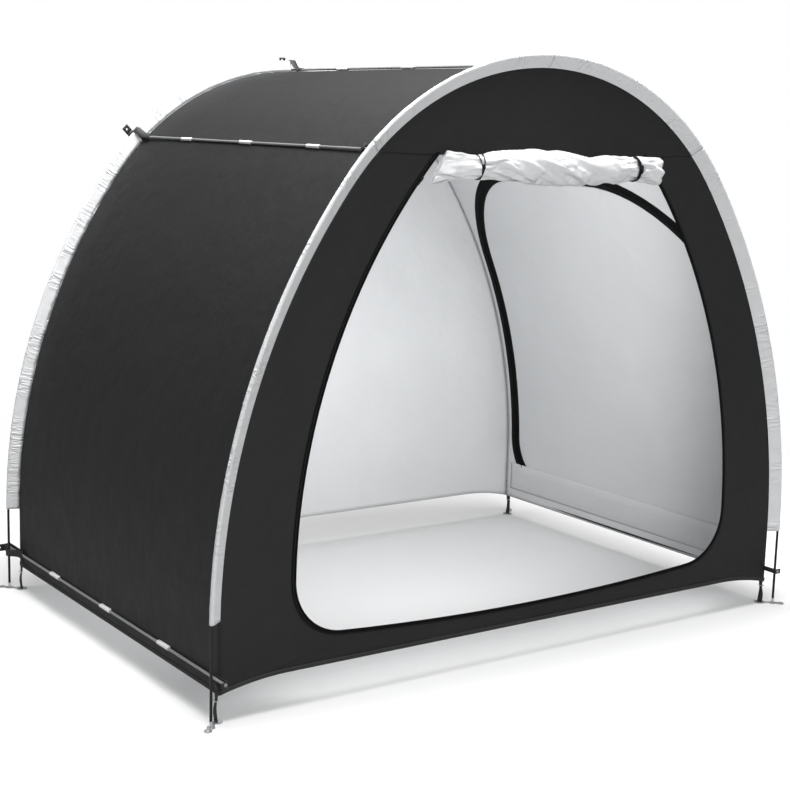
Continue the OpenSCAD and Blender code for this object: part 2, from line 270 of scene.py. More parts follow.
charcoal = woven(
    "charcoal_cloth", (0.0110, 0.0112, 0.0117), (0.0146, 0.0148, 0.0153), rough=0.56, relief=0.004,
    constants={"Specular IOR Level": 0.26},
)
silver = woven("silver_lining", (0.56, 0.57, 0.58), (0.63, 0.64, 0.65), rough=0.38, relief=0.004)

HALF_RUN = run_to_leg(CLOTH_INSET) + LEG_H - HEM_Z
UPPER_RUN = (CROWN_R - CLOTH_INSET) * (math.pi / 2 - UPPER_ANGLE)
LOW_RUN = run_at(LOW_ROD_Z, CLOTH_INSET)
EDGE_IN = 0.0015
EDGE_Y = HALF_DEPTH - EDGE_IN
HOLLOW = 0.006
ROD_LIFT = 0.0028
LIFT_REACH = 0.030


def held(run):
    """0 at a rod and 1 midway between two."""
    for low, high in ((0, UPPER_RUN), (UPPER_RUN, LOW_RUN)):
        if low <= abs(run) <= high:
            return math.sin(math.pi * (abs(run) - low) / (high - low))
    return 0.0


def slack_at(y):
    """0 at the sewn edges and 1 midway between the hoops."""
    return 1 - (y / EDGE_Y) ** 2


def rod_lift(y):
    """How far a rod's loops draw the cloth out to the rod."""
    return ROD_LIFT * slack_at(y)


def on_canopy(run, y):
    """A point of the canopy at a distance round from the ridge and a depth, and its outward way."""
    point, out = arch(run, CLOTH_INSET)
    slack = slack_at(y)
    spot = Vector((run, y, 0))
    dip = -HOLLOW * held(run) * slack
    dip += slack * wrinkles(spot, size=0.30, broad=0.0025, finer=2.7, fine=0.0012) * held(run)
    near_rod = max(math.exp(-(((abs(run) - rod) / LIFT_REACH) ** 2)) for rod in (0, UPPER_RUN, LOW_RUN))
    dip += rod_lift(y) * near_rod
    return point + out * dip + Vector((0, y, 0)), out


def canopy_place(u, v):
    return on_canopy((2 * u - 1) * HALF_RUN, (2 * v - 1) * EDGE_Y)[0]


SIDE_DOOR_HALF = 0.580
SIDE_DOOR_LOW = 0.170
SIDE_DOOR_TOP = 1.280
SIDE_ZIP_W = 0.044
# The side door's corners: front (-1) or rear (1), upper (1) or lower (-1), radius
SIDE_CORNERS = [(1, -1, 0.140), (1, 1, 0.300), (-1, 1, 0.480), (-1, -1, 0.140)]


def corner_middle(hand, up, radius):
    return hand * (SIDE_DOOR_HALF - radius), SIDE_DOOR_TOP - radius if up > 0 else SIDE_DOOR_LOW + radius


def inside_side_door(y, z, grow):
    """Whether a place on the right side lies within the side door's outline, grown by a margin."""
    if abs(y) > SIDE_DOOR_HALF + grow or not SIDE_DOOR_LOW - grow < z < SIDE_DOOR_TOP + grow:
        return False
    for hand, up, radius in SIDE_CORNERS:
        middle = corner_middle(hand, up, radius)
        across, over = (y - middle[0]) * hand, (z - middle[1]) * up
        if across > 0 and over > 0 and math.hypot(across, over) > radius + grow:
            return False
    return True


canopy_bm = panel(columns=290, rows=92, place=canopy_place, cut=(2 * HALF_RUN, 2 * EDGE_Y))
inner = []
for face in canopy_bm.faces:
    centre = face.calc_center_median()
    if centre.x > 0 and inside_side_door(centre.y, centre.z, SIDE_ZIP_W / 2):
        inner.append(face)
canopy_area = cloth_area(canopy_bm.faces) - cloth_area(inner)
bmesh.ops.delete(canopy_bm, geom=inner, context="FACES")
canopy = stand(
    "canopy", canopy_bm, [charcoal, silver], ["left_side_sheet", "roof_sheet", "right_side_sheet"]
)
thicken(canopy)
2 * HALF_RUN

# Side door
# A closed door in the right side, cut from the same cloth, in a wide black zip band that is sewn round it
# with two rows of stitches and shows inside and out. Its slider rests at the lower front corner.
SIDE_LAP = 0.014


def side_door_place(u, v):
    low, high = run_at(SIDE_DOOR_TOP + SIDE_LAP, CLOTH_INSET), run_at(SIDE_DOOR_LOW - SIDE_LAP, CLOTH_INSET)
    return on_canopy(low + (high - low) * u, (2 * v - 1) * (SIDE_DOOR_HALF + SIDE_LAP))[0]


door_run = run_at(SIDE_DOOR_LOW, CLOTH_INSET) - run_at(SIDE_DOOR_TOP, CLOTH_INSET)
side_door_bm = panel(columns=84, rows=84, place=side_door_place, cut=(door_run, 2 * SIDE_DOOR_HALF))
outer = []
for face in side_door_bm.faces:
    centre = face.calc_center_median()
    if not inside_side_door(centre.y, centre.z, SIDE_ZIP_W / 4):
        outer.append(face)
bmesh.ops.delete(side_door_bm, geom=outer, context="FACES")
side_door_area = cloth_area(side_door_bm.faces)
side_door = stand("side_door", side_door_bm, [charcoal, silver], ["right_side_door"])
thicken(side_door)


def once(things):
    """The same things in the same order, each only once."""
    return list(dict.fromkeys(things))


def sweep(bm, frames, profile, closed=False):
    """Sweeps a closed profile along frames of a middle and two axes; an open run gets flat ends."""
    made = bmesh.ops.create_grid(bm, x_segments=len(profile), y_segments=len(frames) - 1, size=1)["verts"]
    for vert in made:
        column = round((vert.co.x + 1) / 2 * len(profile)) % len(profile)
        row = round((vert.co.y + 1) / 2 * (len(frames) - 1))
        middle, across, out = frames[row]
        vert.co = middle + across * profile[column][0] + out * profile[column][1]
    faces = once(face for vert in made for face in vert.link_faces)
    bmesh.ops.remove_doubles(bm, verts=made, dist=1e-6)
    if not closed:
        whole = [face for face in faces if face.is_valid]
        rims = once(edge for face in whole for edge in face.edges if edge.is_boundary)
        bmesh.ops.holes_fill(bm, edges=rims, sides=0)


def along(points, outs, closed=False):
    """Frames along a path: each has its point, the way across the path and the way out."""
    frames = []
    count = len(points)
    for k, (point, out) in enumerate(zip(points, outs)):
        ahead = points[(k + 1) % count] if closed else points[min(k + 1, count - 1)]
        behind = points[k - 1] if closed else points[max(k - 1, 0)]
        across = (ahead - behind).cross(out).normalized()
        frames.append((point, across, out))
    return frames + frames[:1] if closed else frames


def strip(width, thickness):
    """The profile of a flat band with rounded edges, centred on its path."""
    half, half_t = width / 2, thickness / 2
    shoulder = half - half_t
    return [
        (-half, 0), (-shoulder, -half_t), (0, -half_t), (shoulder, -half_t),
        (half, 0), (shoulder, half_t), (0, half_t), (-shoulder, half_t),
    ]


def turns_round(count):
    """The angles of even steps once round."""
    return [2 * math.pi * k / count for k in range(count)]


def disc(radius, sides=8):
    return [(radius * math.cos(turn), radius * math.sin(turn)) for turn in turns_round(sides)]


def arc(middle, radius, start, stop, steps):
    """Points along an arc in a plane, by its angle in degrees."""
    angles = [math.radians(start + (stop - start) * k / steps) for k in range(steps + 1)]
    return [(middle[0] + radius * math.cos(angle), middle[1] + radius * math.sin(angle)) for angle in angles]


def evenly(points, count):
    """The same path with its points at even distances."""
    ways = [0.0]
    for first, second in zip(points, points[1:]):
        ways.append(ways[-1] + (second - first).length)
    spread = []
    k = 0
    for step in range(count + 1):
        way = ways[-1] * step / count
        while k < len(ways) - 2 and ways[k + 1] < way:
            k += 1
        share = (way - ways[k]) / max(ways[k + 1] - ways[k], 1e-9)
        spread.append(points[k].lerp(points[k + 1], min(share, 1.0)))
    return spread


def side_door_edge(grow, count):
    """Points and outward ways on the canopy along the side door's outline, once round."""
    outline = []
    for k, (hand, up, radius) in enumerate(SIDE_CORNERS):
        outline += arc(corner_middle(hand, up, radius), radius + grow, 90 * k - 90, 90 * k, steps=16)
    outline.append(outline[0])
    spread = evenly([Vector((0, y, z)) for y, z in outline], count)[:-1]
    return zip(*(on_canopy(run_at(spot.z, CLOTH_INSET), spot.y) for spot in spread))


def ribbed(name, colour, pitch, rough, axis, constants=None, depth=0.0004):
    """A tape or coil with ribs across it at a pitch along one of its Object axes."""
    made, shader, place = finish(name, "Object", constants or {})
    ribs = (place.part(axis) * (2 * math.pi / pitch)).math("SINE")
    fluff = place.cloud(scale=600.0)
    feed(
        shader,
        base_color=fluff.tint(colour, [1.6 * c for c in colour]),
        roughness=rough + 0.2 * fluff,
        normal=(ribs + fluff).relief(depth, strength=0.6),
    )
    return made


SIDE_ZIP_LAP = 0.004
SIDE_ZIP_T = 0.0036
SIDE_ZIP_STEPS = 260
SIDE_COIL_W = 0.005
SIDE_COIL_T = 0.0030
zip_tape = ribbed(
    "zip_tape", (0.0010, 0.0010, 0.0011), pitch=0.0025, rough=0.6, axis=2,
    constants={"Specular IOR Level": 0.12},
)
side_zip_bm = bmesh.new()
points, outs = side_door_edge(SIDE_ZIP_W / 2, SIDE_ZIP_STEPS)
band = strip(SIDE_ZIP_W + SIDE_ZIP_LAP, SIDE_ZIP_T)
sweep(side_zip_bm, along(points, outs, closed=True), band, closed=True)
for layer in (-1, 1):
    ridge = [point + out * (SIDE_ZIP_T / 2) * layer for point, out in zip(points, outs)]
    sweep(side_zip_bm, along(ridge, outs, closed=True), strip(SIDE_COIL_W, SIDE_COIL_T), closed=True)
stand("side_zip", side_zip_bm, [zip_tape], ["right_side_zip"], turn_out=True)

# A slider's body and bridge: start and end along the zip, half width, height of the middle over the coil
SLIDER_BLOCKS = [(-0.006, 0.004, 0.0035, 0.0018), (-0.003, 0.003, 0.0013, 0.0040)]
SLIDER_T = 0.0030
SLIDER_ROUND = 0.0009
# Its pull: distance down the zip, height over the coil
PULL_PATH = [(0, 0.0052), (0.004, 0.0054), (0.017, 0.0038), (0.020, 0.0034)]
PULL_W = 0.0045
PULL_T = 0.0012


def slider(bm, at, way, out):
    """A zip slider on the coil at a place, its body along the zip, with a pull that lies down along it."""
    across = way.cross(out)
    for start, stop, half, lift in SLIDER_BLOCKS:
        block = bmesh.ops.create_cube(bm, size=1)["verts"]
        edges = once(edge for vert in block for edge in vert.link_edges)
        for vert in block:
            run = stop if vert.co.z > 0 else start
            height = lift + SLIDER_T * vert.co.y
            vert.co = at + way * run + across * (2 * half * vert.co.x) + out * height
        bmesh.ops.bevel(
            bm, geom=edges, offset=SLIDER_ROUND, segments=2, affect="EDGES", profile=0.5, material=-1
        )
    down = way if way.z < 0 else -way
    path = [at + out * lift + down * drop for drop, lift in PULL_PATH]
    sweep(bm, along(path, [out] * len(path)), strip(PULL_W, PULL_T))


sliders = bmesh.new()
lowest = min(range(len(points)), key=lambda k: points[k].y + points[k].z)
zip_way = (points[lowest] - points[lowest - 1]).normalized()
slider(sliders, points[lowest], zip_way, outs[lowest])

STITCH_STEP = 0.006
STITCH_LONG = 0.0042
STITCH_WIDE = 0.0008
STITCH_HIGH = 0.0006
thread = ribbed("black_thread", (0.012, 0.012, 0.0125), pitch=0.0010, rough=0.5, axis=2, depth=0.0001)


def stitch_row(bm, points, outs, lift):
    """A row of machine stitches along a path whose points lie one stitch apart."""
    for here, ahead, out in zip(points, points[1:], outs):
        way = (ahead - here).normalized()
        middle = (here + ahead) / 2 + out * lift
        axes = Matrix((way * STITCH_LONG, out.cross(way) * STITCH_WIDE, out * STITCH_HIGH))
        turned = Matrix.Translation(middle) @ axes.transposed().to_4x4()
        bmesh.ops.create_cube(bm, size=1, matrix=turned)


def stitch_line(bm, points, out, lift):
    """The same along any path on a flat face."""
    count = round(sum((b - a).length for a, b in zip(points, points[1:])) / STITCH_STEP)
    stitch_row(bm, evenly(points, count), [out] * count, lift)


SIDE_STITCHES = 700
SIDE_ROW_IN = 0.003
SIDE_ROW_LIFT = 0.0019
stitches = bmesh.new()
for grow in (SIDE_ROW_IN, SIDE_ZIP_W - SIDE_ROW_IN):
    points, outs = side_door_edge(grow, SIDE_STITCHES)
    for lift in (-SIDE_ROW_LIFT, SIDE_ROW_LIFT):
        stitch_row(stitches, points, outs, lift)
stand("side_door_stitching", stitches, [thread])

# Side door flap
# A strip of the silver lining sewn in along the door's lower run, which keeps water out of the zip.
# It hangs over the band inside, so that only the arch of the band shows there.
FLAP_LOW = 0.106
FLAP_TOP = 0.206
FLAP_HALF = 0.622
FLAP_CLEAR = 0.0004
FLAP_STAND = 0.0034
LINING_T = 0.0005


def flap_place(u, v):
    y, z = (2 * u - 1) * FLAP_HALF, FLAP_LOW + (FLAP_TOP - FLAP_LOW) * v
    point, out = on_canopy(run_at(z, CLOTH_INSET), y)
    edge = min(1.0, 5 * min(v, 1 - v), 24 * min(u, 1 - u))
    wave = wrinkles(Vector((y, z * 0.3, 4.0)), size=0.12, broad=0.0014) * v
    return point - out * (CLOTH_T + FLAP_CLEAR + FLAP_STAND * edge + abs(wave))


flap_bm = panel(columns=110, rows=14, place=flap_place, cut=(2 * FLAP_HALF, FLAP_TOP - FLAP_LOW))
flap = stand("side_door_flap", flap_bm, [silver])
thicken(flap, LINING_T)

# Pole sleeves
# Silver-white cloth folded round each pole and sewn to the edge of the end wall. The doubled tail stands
# out from the seam to the pole, and the cloth is gathered a little, so it has fine cross wrinkles.
POLE_OUT = 0.015
SLEEVE_R = 0.0058
SLEEVE_ENDS = {"front_left": 0.262, "front_right": 0.236, "rear_left": 0.254, "rear_right": 0.254}
SEAM_CLEAR = 0.0006
SEAM_OFF = SEAM_CLEAR - POLE_OUT
TAIL_LAP = 0.002
NEAR_POLE = 0.015
SLEEVE_STEP = 0.008
WRAP_START = 70
WRAP_DEGREES = 220
WRAP_STEPS = 12
BUTT_GAP = 0.0001
ROD_GAP = 0.010


def sleeve_profile():
    """A teardrop round the pole with its point at the seam: how far out and how far to the front."""
    root = Vector((-CLOTH_INSET - TAIL_LAP, SEAM_OFF))
    lean = math.atan2(root.y, root.x)
    wraps = [WRAP_START + WRAP_DEGREES * k / WRAP_STEPS for k in range(WRAP_STEPS + 1)]
    turns = [lean + math.radians(wrap) for wrap in wraps]
    ring = [Vector((math.cos(turn), math.sin(turn))) * SLEEVE_R for turn in turns]
    front = [root.lerp(ring[0], share) for share in (0.0, 0.35, 0.7)]
    back = [ring[-1].lerp(root, share) for share in (0.3, 0.65, 0.97)]
    return [tuple(spot) for spot in front + ring + back]


def sleeve(name, start, stop, side, nodes):
    """One sewn length of sleeve between two distances along the hoop, on the front (1) or rear (-1) hoop."""
    profile = sleeve_profile()
    columns = len(profile)
    length = abs(stop - start)
    wide = sum(math.dist(a, b) for a, b in zip(profile, profile[1:] + profile[:1]))
    seed = 7.0 * side + 3.0 * start

    def place(u, v):
        run = start + (stop - start) * v
        column = round(u * columns) % columns
        point, out = arch(run, 0.0)
        middle = point + Vector((0, -side * (HALF_DEPTH + POLE_OUT), 0))
        across, ahead = profile[column]
        spot = Vector((run * 26 + seed, column * 0.22, seed))
        pucker = wrinkles(spot, size=1.0, broad=0.0017, finer=2.3, fine=0.0011)
        swell, lift = 1.0, 0.0
        if math.hypot(across, ahead) < NEAR_POLE:
            swell += abs(pucker) / SLEEVE_R * 0.5
        elif column not in (0, columns - 1):
            lift = 1.6 * pucker
        spread = Vector((0, -side * max(ahead * swell + lift, SEAM_OFF), 0))
        return middle + out * (across * swell) + spread

    bm = panel(columns=columns, rows=int(length / SLEEVE_STEP), place=place, cut=(wide, length))
    piece = stand(name, bm, [sleeve_cloth], nodes, turn_out=True)
    thicken(piece, LINING_T)


sleeve_cloth = woven(
    "sleeve_cloth", (0.56, 0.57, 0.58), (0.65, 0.66, 0.67), rough=0.34, relief=0.002, folds=(26, 60, 9.0)
)
POLE_UPPER = CROWN_R * (math.pi / 2 - UPPER_ANGLE)
for end, side, gap in (("front", 1, BUTT_GAP), ("rear", -1, ROD_GAP)):
    for hand, turn in (("left", -1), ("right", 1)):
        stop = run_to_leg(0.0) + LEG_H - SLEEVE_ENDS[f"{end}_{hand}"]
        sleeve(
            f"{end}_{hand}_side_sleeve", turn * (POLE_UPPER + gap), turn * stop, side,
            [f"{end}_{hand}_sleeve"],
        )
        sleeve(
            f"{end}_{hand}_top_sleeve", turn * gap, turn * (POLE_UPPER - gap), side,
            [f"{end}_crown_{hand}_sleeve"],
        )

EDGE_STITCHES = round(2 * HALF_RUN / STITCH_STEP)
EDGE_ROW_IN = 0.006
CLOTH_ROW_LIFT = 0.0002
stitches = bmesh.new()
for side in (-1, 1):
    runs = [HALF_RUN * (2 * k / EDGE_STITCHES - 1) for k in range(EDGE_STITCHES + 1)]
    points, outs = zip(*(on_canopy(run, side * (EDGE_Y - EDGE_ROW_IN)) for run in runs))
    stitch_row(stitches, points, outs, CLOTH_ROW_LIFT)
stand("canopy_stitching", stitches, [thread])

# Front wall
# Charcoal cloth in two panels: a gable over a level seam, and a lower panel cut out round the doorway that
# makes both jambs and the sill. Its lower edge is bound and rises in a shallow arch between the corners.
SEAM_Z = CROWN_Z + (CROWN_R - CLOTH_INSET) * math.sin(UPPER_ANGLE)
CLOTH_X = SPAN / 2 - CLOTH_INSET
HEM_RISE = 0.025
HEM_END = 0.200
HEM_R = (HEM_END**2 + HEM_RISE**2) / (2 * HEM_RISE)
HEM_XS = [CLOTH_X * (k / 40 - 1) for k in range(81)]
DOOR_HALF = 0.755
DOOR_TURN_Z = 0.330
DOOR_R = 1.5992
DOOR_CORNER_R = 0.150
DOOR_LOW_Z = 0.157
DOOR_CORNER_X = DOOR_HALF - DOOR_CORNER_R
DOOR_RISE = DOOR_TURN_Z - DOOR_LOW_Z
DOOR_LOW_R = (DOOR_CORNER_X**2 + DOOR_RISE**2 - DOOR_CORNER_R**2) / (2 * (DOOR_RISE - DOOR_CORNER_R))
FRONT_Y = -HALF_DEPTH


def hem_height(x):
    past = max(0.0, abs(x) - (CLOTH_X - HEM_END))
    return HEM_Z + HEM_RISE - HEM_R + math.sqrt(HEM_R**2 - past**2)


def door_stretches(grow):
    """The doorway's edge in three stretches that meet midway round its lower corners: left, low, right."""
    side_r, corner_r = DOOR_R + grow, DOOR_CORNER_R + grow
    top = math.degrees(math.asin((SEAM_Z - DOOR_TURN_Z) / side_r))
    slope = math.degrees(math.atan2(DOOR_CORNER_X, DOOR_LOW_R - DOOR_RISE))
    side = arc((DOOR_R - DOOR_HALF, DOOR_TURN_Z), side_r, 180 - top, 180, steps=40)
    middle = (-DOOR_CORNER_X, DOOR_TURN_Z)
    side += arc(middle, corner_r, 180, 225, steps=8)
    low = arc(middle, corner_r, 225, 270 - slope, steps=8)
    low += arc((0, DOOR_LOW_Z + DOOR_LOW_R), DOOR_LOW_R + grow, 270 - slope, 270 + slope, steps=40)
    low += [(-x, z) for x, z in arc(middle, corner_r, 270 - slope, 225, steps=8)]
    other = [(-x, z) for x, z in reversed(side)]
    return [[Vector((x, FRONT_Y, z)) for x, z in stretch] for stretch in (side, low, other)]


def wall_stretches():
    """The lower wall's outer edge in the same three stretches: left hoop, hem, right hoop."""
    left = [arch(-UPPER_RUN - (HALF_RUN - UPPER_RUN) * k / 60, CLOTH_INSET)[0] for k in range(61)]
    hem = [Vector((x, 0, hem_height(x))) for x in HEM_XS]
    right = [Vector((-spot.x, 0, spot.z)) for spot in reversed(left)]
    return [[Vector((spot.x, FRONT_Y, spot.z)) for spot in stretch] for stretch in (left, hem, right)]


JAMB_STEPS = 90
SILL_STEPS = 110


def spread_stretches(stretches):
    """One path of the three stretches, each in its own number of even steps."""
    path = []
    for stretch, count in zip(stretches, (JAMB_STEPS, SILL_STEPS, JAMB_STEPS)):
        path += evenly(stretch, count)[1 if path else 0:]
    return path


ZIP_W = 0.011
door_side = spread_stretches(door_stretches(ZIP_W * 0.6))
hoop_side = spread_stretches(wall_stretches())
WALL_STEPS = len(door_side) - 1
WALL_CUT = (4.2, 0.2)
WALL_IN = 0.0004


def billow(share):
    """0 at both edges of a panel and 1 midway."""
    return 4 * share * (1 - share)


def wall_place(u, v):
    k = round(u * WALL_STEPS)
    spot = door_side[k].lerp(hoop_side[k], v)
    wave = billow(v) * wrinkles(spot, size=0.22, broad=0.003, finer=2.2, fine=0.0012)
    return spot + Vector((0, wave + WALL_IN, 0))


front_bm = panel(columns=WALL_STEPS, rows=18, place=wall_place, cut=WALL_CUT)
front_area = cloth_area(front_bm.faces)
front_wall = stand(
    "front_wall", front_bm, [charcoal, silver],
    ["front_left_jamb", "front_right_jamb", "front_sill"],
)
thicken(front_wall)
halfway = [near.lerp(far, 0.5) for near, far in zip(door_side, hoop_side)]
wall_run = sum((b - a).length for a, b in zip(halfway, halfway[1:]))
wall_wide = max((far - near).length for near, far in zip(door_side, hoop_side))

GABLE_LAP = 0.010
GABLE_OUT = 0.0012
GABLE_CUT_HIGH = 0.23
GABLE_ROW_UP = 0.003
GABLE_ROW_STEPS = 60


def gable(name, side, nodes):
    """The upper panel of the front (1) or rear (-1) wall, lapped over the lower one along the seam."""
    crown = CROWN_R - CLOTH_INSET

    def place(u, v):
        angle = (2 * u - 1) * (math.pi / 2 - UPPER_ANGLE)
        x = crown * math.sin(angle)
        top, low = CROWN_Z + crown * math.cos(angle), SEAM_Z - GABLE_LAP * math.cos(2 * angle)
        spot = Vector((x, -side * HALF_DEPTH, low + (top - low) * v))
        slack = billow(v) * (1 - (2 * u - 1) ** 2)
        wave = slack * wrinkles(spot, size=0.25, broad=0.004, finer=2.4, fine=0.0015)
        return spot + Vector((0, side * (wave - GABLE_OUT), 0))

    cut = (2 * crown * math.sin(math.pi / 2 - UPPER_ANGLE), GABLE_CUT_HIGH)
    bm = panel(columns=110, rows=26, place=place, cut=cut)
    area = cloth_area(bm.faces)
    piece = stand(name, bm, [charcoal, silver], nodes)
    thicken(piece)
    stitches = bmesh.new()
    shares = [k / GABLE_ROW_STEPS for k in range(1, GABLE_ROW_STEPS)]
    seam = [place(share, 0.0) + Vector((0, 0, GABLE_ROW_UP)) for share in shares]
    stitch_line(stitches, seam, Vector((0, -side, 0)), CLOTH_ROW_LIFT)
    stand(f"{name}_stitching", stitches, [thread])


gable("front_gable_panel", 1, ["front_gable"])

# Rear wall
# The same two panels without a doorway, in charcoal cloth that is silver inside.
# They are sewn to the canopy's edge along the rear hoop.
gable("rear_gable_panel", -1, ["rear_gable"])


def rear_place(u, v):
    run = HALF_RUN + (UPPER_RUN - HALF_RUN) * v
    edge = arch(run, CLOTH_INSET)[0]
    x = edge.x * (2 * u - 1)
    z = edge.z + (hem_height(x) - HEM_Z) * (1 - v) ** 4
    spot = Vector((x, HALF_DEPTH, z))
    slack = billow(v) * (1 - (2 * u - 1) ** 2)
    wave = slack * wrinkles(spot, size=0.35, broad=0.008, finer=2.6, fine=0.003)
    return spot + Vector((0, wave - WALL_IN, 0))


rear_bm = panel(columns=120, rows=84, place=rear_place, cut=(2 * CLOTH_X, SEAM_Z - HEM_Z))
rear_area = cloth_area(rear_bm.faces)
rear_wall = stand("rear_wall_panel", rear_bm, [charcoal, silver], ["rear_wall"])
thicken(rear_wall)
SEAM_Z - HEM_Z

# Hem binding
# A narrow black ribbed tape along the lower edges of the walls and sides.
# It lies on the outside of the cloth and is sewn on with one row of stitches.
HEM_TAPE_W = 0.012
HEM_TAPE_T = 0.0022
HEM_TAPE_OUT = 0.0009
HEM_ROW_LIFT = 0.0012
binding = ribbed("hem_tape", (0.010, 0.010, 0.011), pitch=0.0020, rough=0.6, axis=0, depth=0.0001)
hem_bm = bmesh.new()
stitches = bmesh.new()
for side in (-1, 1):
    wall_y, side_x = side * (HALF_DEPTH + HEM_TAPE_OUT), side * (CLOTH_X + HEM_TAPE_OUT)
    wall_edge = [Vector((x, wall_y, hem_height(x) + HEM_TAPE_W / 2)) for x in HEM_XS]
    side_edge = [Vector((side_x, EDGE_Y * (k / 20 - 1), HEM_Z + HEM_TAPE_W / 2)) for k in range(41)]
    for path, out in ((wall_edge, Vector((0, side, 0))), (side_edge, Vector((side, 0, 0)))):
        sweep(hem_bm, along(path, [out] * len(path)), strip(HEM_TAPE_W, HEM_TAPE_T))
        stitch_line(stitches, path, out, HEM_ROW_LIFT)
stand("hem_binding", hem_bm, [binding], turn_out=True)
stand("hem_stitching", stitches, [thread])

# Doorway zip
# Black zip tape sewn round the left, lower and right edges of the doorway, with the bare half of the coil
# along its inner edge and a slider parked at each upper end.
ZIP_LAP = 0.002
ZIP_T = 0.0022
ZIP_STEPS = 420
ZIP_OUT = Vector((0, -0.0006, 0))
ZIP_ROW_LIFT = 0.0018
COIL_IN = 0.0015
COIL_R = 0.0019
COIL_OUT = Vector((0, -0.0012, 0))
PARKED = 9
TO_FRONT = Vector((0, -1, 0))


def doorway_edge(grow):
    return [point for stretch in door_stretches(grow) for point in stretch]


tape_bm = bmesh.new()
tape = [spot + ZIP_OUT for spot in evenly(doorway_edge(ZIP_W / 2), ZIP_STEPS)]
coil = [spot + COIL_OUT for spot in evenly(doorway_edge(COIL_IN), ZIP_STEPS)]
for path, profile in ((tape, strip(ZIP_W + ZIP_LAP, ZIP_T)), (coil, disc(COIL_R))):
    sweep(tape_bm, along(path, [TO_FRONT] * len(path)), profile)
stand("doorway_zip", tape_bm, [zip_tape], ["front_zip"], turn_out=True)
stitches = bmesh.new()
stitch_line(stitches, doorway_edge(ZIP_W * 0.8), TO_FRONT, ZIP_ROW_LIFT)
stand("doorway_stitching", stitches, [thread])
for k in (PARKED, len(coil) - 1 - PARKED):
    slider(sliders, coil[k], (coil[k] - coil[k - 1]).normalized(), TO_FRONT)
stand("zip_sliders", sliders, [pole_black], turn_out=True)

# Rolled door
# The front door wound up from its lower edge and tied under the gable, white side out. It is slack: full in
# the middle, drawn in at the two ties, and flattened at its left end where it runs out to the zip.
ROLL_TURNS = 12
ROLL_CORE = 0.006
ROLL_NECK = 0.22
ROLL_SHOWN = 1.4
ROLL_FINE = 0.42
ROLL_CLEAR = 0.0015
ROLL_SEWN_OUT = 0.0001
ROLL_T = 0.0004
ROLL_CUT = (0.72, 1.24)
ROLL_MIDDLE = Vector((0, -0.69, 1.36))
# Places along the roll: x, radius, top edge over the seam, depth as a share of the height
ROLL_FORM = [
    (-0.338, 0.040, 0.004, 0.20),
    (-0.300, 0.036, 0.000, 0.45),
    (-0.250, 0.030, -0.004, 0.82),
    (-0.180, 0.038, 0.008, 0.86),
    (-0.085, 0.045, 0.013, 0.84),
    (0.000, 0.045, 0.009, 0.84),
    (0.090, 0.042, 0.000, 0.88),
    (0.190, 0.038, -0.002, 0.92),
    (0.284, 0.032, -0.005, 0.95),
    (0.335, 0.038, -0.002, 0.92),
    (0.366, 0.042, 0.000, 0.86),
    (0.376, 0.036, -0.004, 0.80),
]
TIE_XS = (-0.250, 0.284)
END_LEAN = 0.55
END_LONG = 0.088
# The folds that run from a tie: height as a share of the radius, folds to a turn, slant, start
TIE_FOLDS = [(0.26, 4.5, 14, 0), (0.18, 6.5, -22, 1)]
FOLD_REACH = 0.040
FOLD_LEVEL = 0.64
CREASE_LEVEL = 0.22
BROAD_CREASE = 0.56
FINE_CREASE = 0.16
CREASE_START = 0.15


def roll_form(x):
    """Radius, top edge and depth share of the roll at a place along it, smooth through its form."""
    x = min(max(x, ROLL_FORM[0][0]), ROLL_FORM[-1][0])
    k = max(i for i, form in enumerate(ROLL_FORM[:-1]) if form[0] <= x)
    first, second = ROLL_FORM[k], ROLL_FORM[k + 1]
    share = (x - first[0]) / (second[0] - first[0])
    share = share * share * (3 - 2 * share)
    return [a + (b - a) * share for a, b in zip(first[1:], second[1:])]


def roll_creases(x, turn):
    """How far the skin stands out of the roll's form: folds from the ties, and loose creases between."""
    swell, drawn = 0.0, 0.0
    for tie in TIE_XS:
        near = math.exp(-abs(x - tie) / FOLD_REACH)
        drawn = max(drawn, near)
        for height, around, slant, start in TIE_FOLDS:
            fold = abs(math.sin(around * turn + slant * (x - tie) + start))
            swell += height * near * (fold - FOLD_LEVEL)
    bend = turn + 9 * x
    spot = Vector((x * 5, math.cos(bend) * 1.25, math.sin(bend) * 1.25))
    broad = CREASE_LEVEL - math.hypot(noise.noise(spot), 0.08)
    fine = CREASE_LEVEL - math.hypot(noise.noise(spot * 2.3), 0.1)
    loose = BROAD_CREASE * broad + FINE_CREASE * fine
    return swell + loose * (1 - 0.6 * drawn)


def roll_place(u, v):
    x = ROLL_FORM[0][0] + (ROLL_FORM[-1][0] - ROLL_FORM[0][0]) * u
    radius, top, depth = roll_form(x)
    turns = -ROLL_NECK + (ROLL_SHOWN + ROLL_NECK) * v / ROLL_FINE
    if v > ROLL_FINE:
        turns = ROLL_SHOWN + (ROLL_TURNS - ROLL_SHOWN) * (v - ROLL_FINE) / (1 - ROLL_FINE)
    turn = 2 * math.pi * turns
    middle_y = FRONT_Y - ROLL_CLEAR - radius * depth
    middle_z = SEAM_Z + top - radius
    wound = ROLL_CORE + (radius - ROLL_CORE) * (1 - max(0.0, turns) / ROLL_TURNS)
    wound *= 1 + roll_creases(x, turn) * min(1.0, max(0.0, turns) / CREASE_START)
    y = middle_y + wound * depth * math.cos(turn)
    z = middle_z - wound * math.sin(turn)
    if turns < 0:
        share = -turns / ROLL_NECK
        y = y + (FRONT_Y - ROLL_SEWN_OUT - y) * min(1.0, 3 * share)
        z = middle_z + (SEAM_Z - middle_z) * share
    lean = END_LEAN * max(0.0, (TIE_XS[0] - x) / END_LONG) * (z - SEAM_Z)
    return Vector((x + lean, y, z))


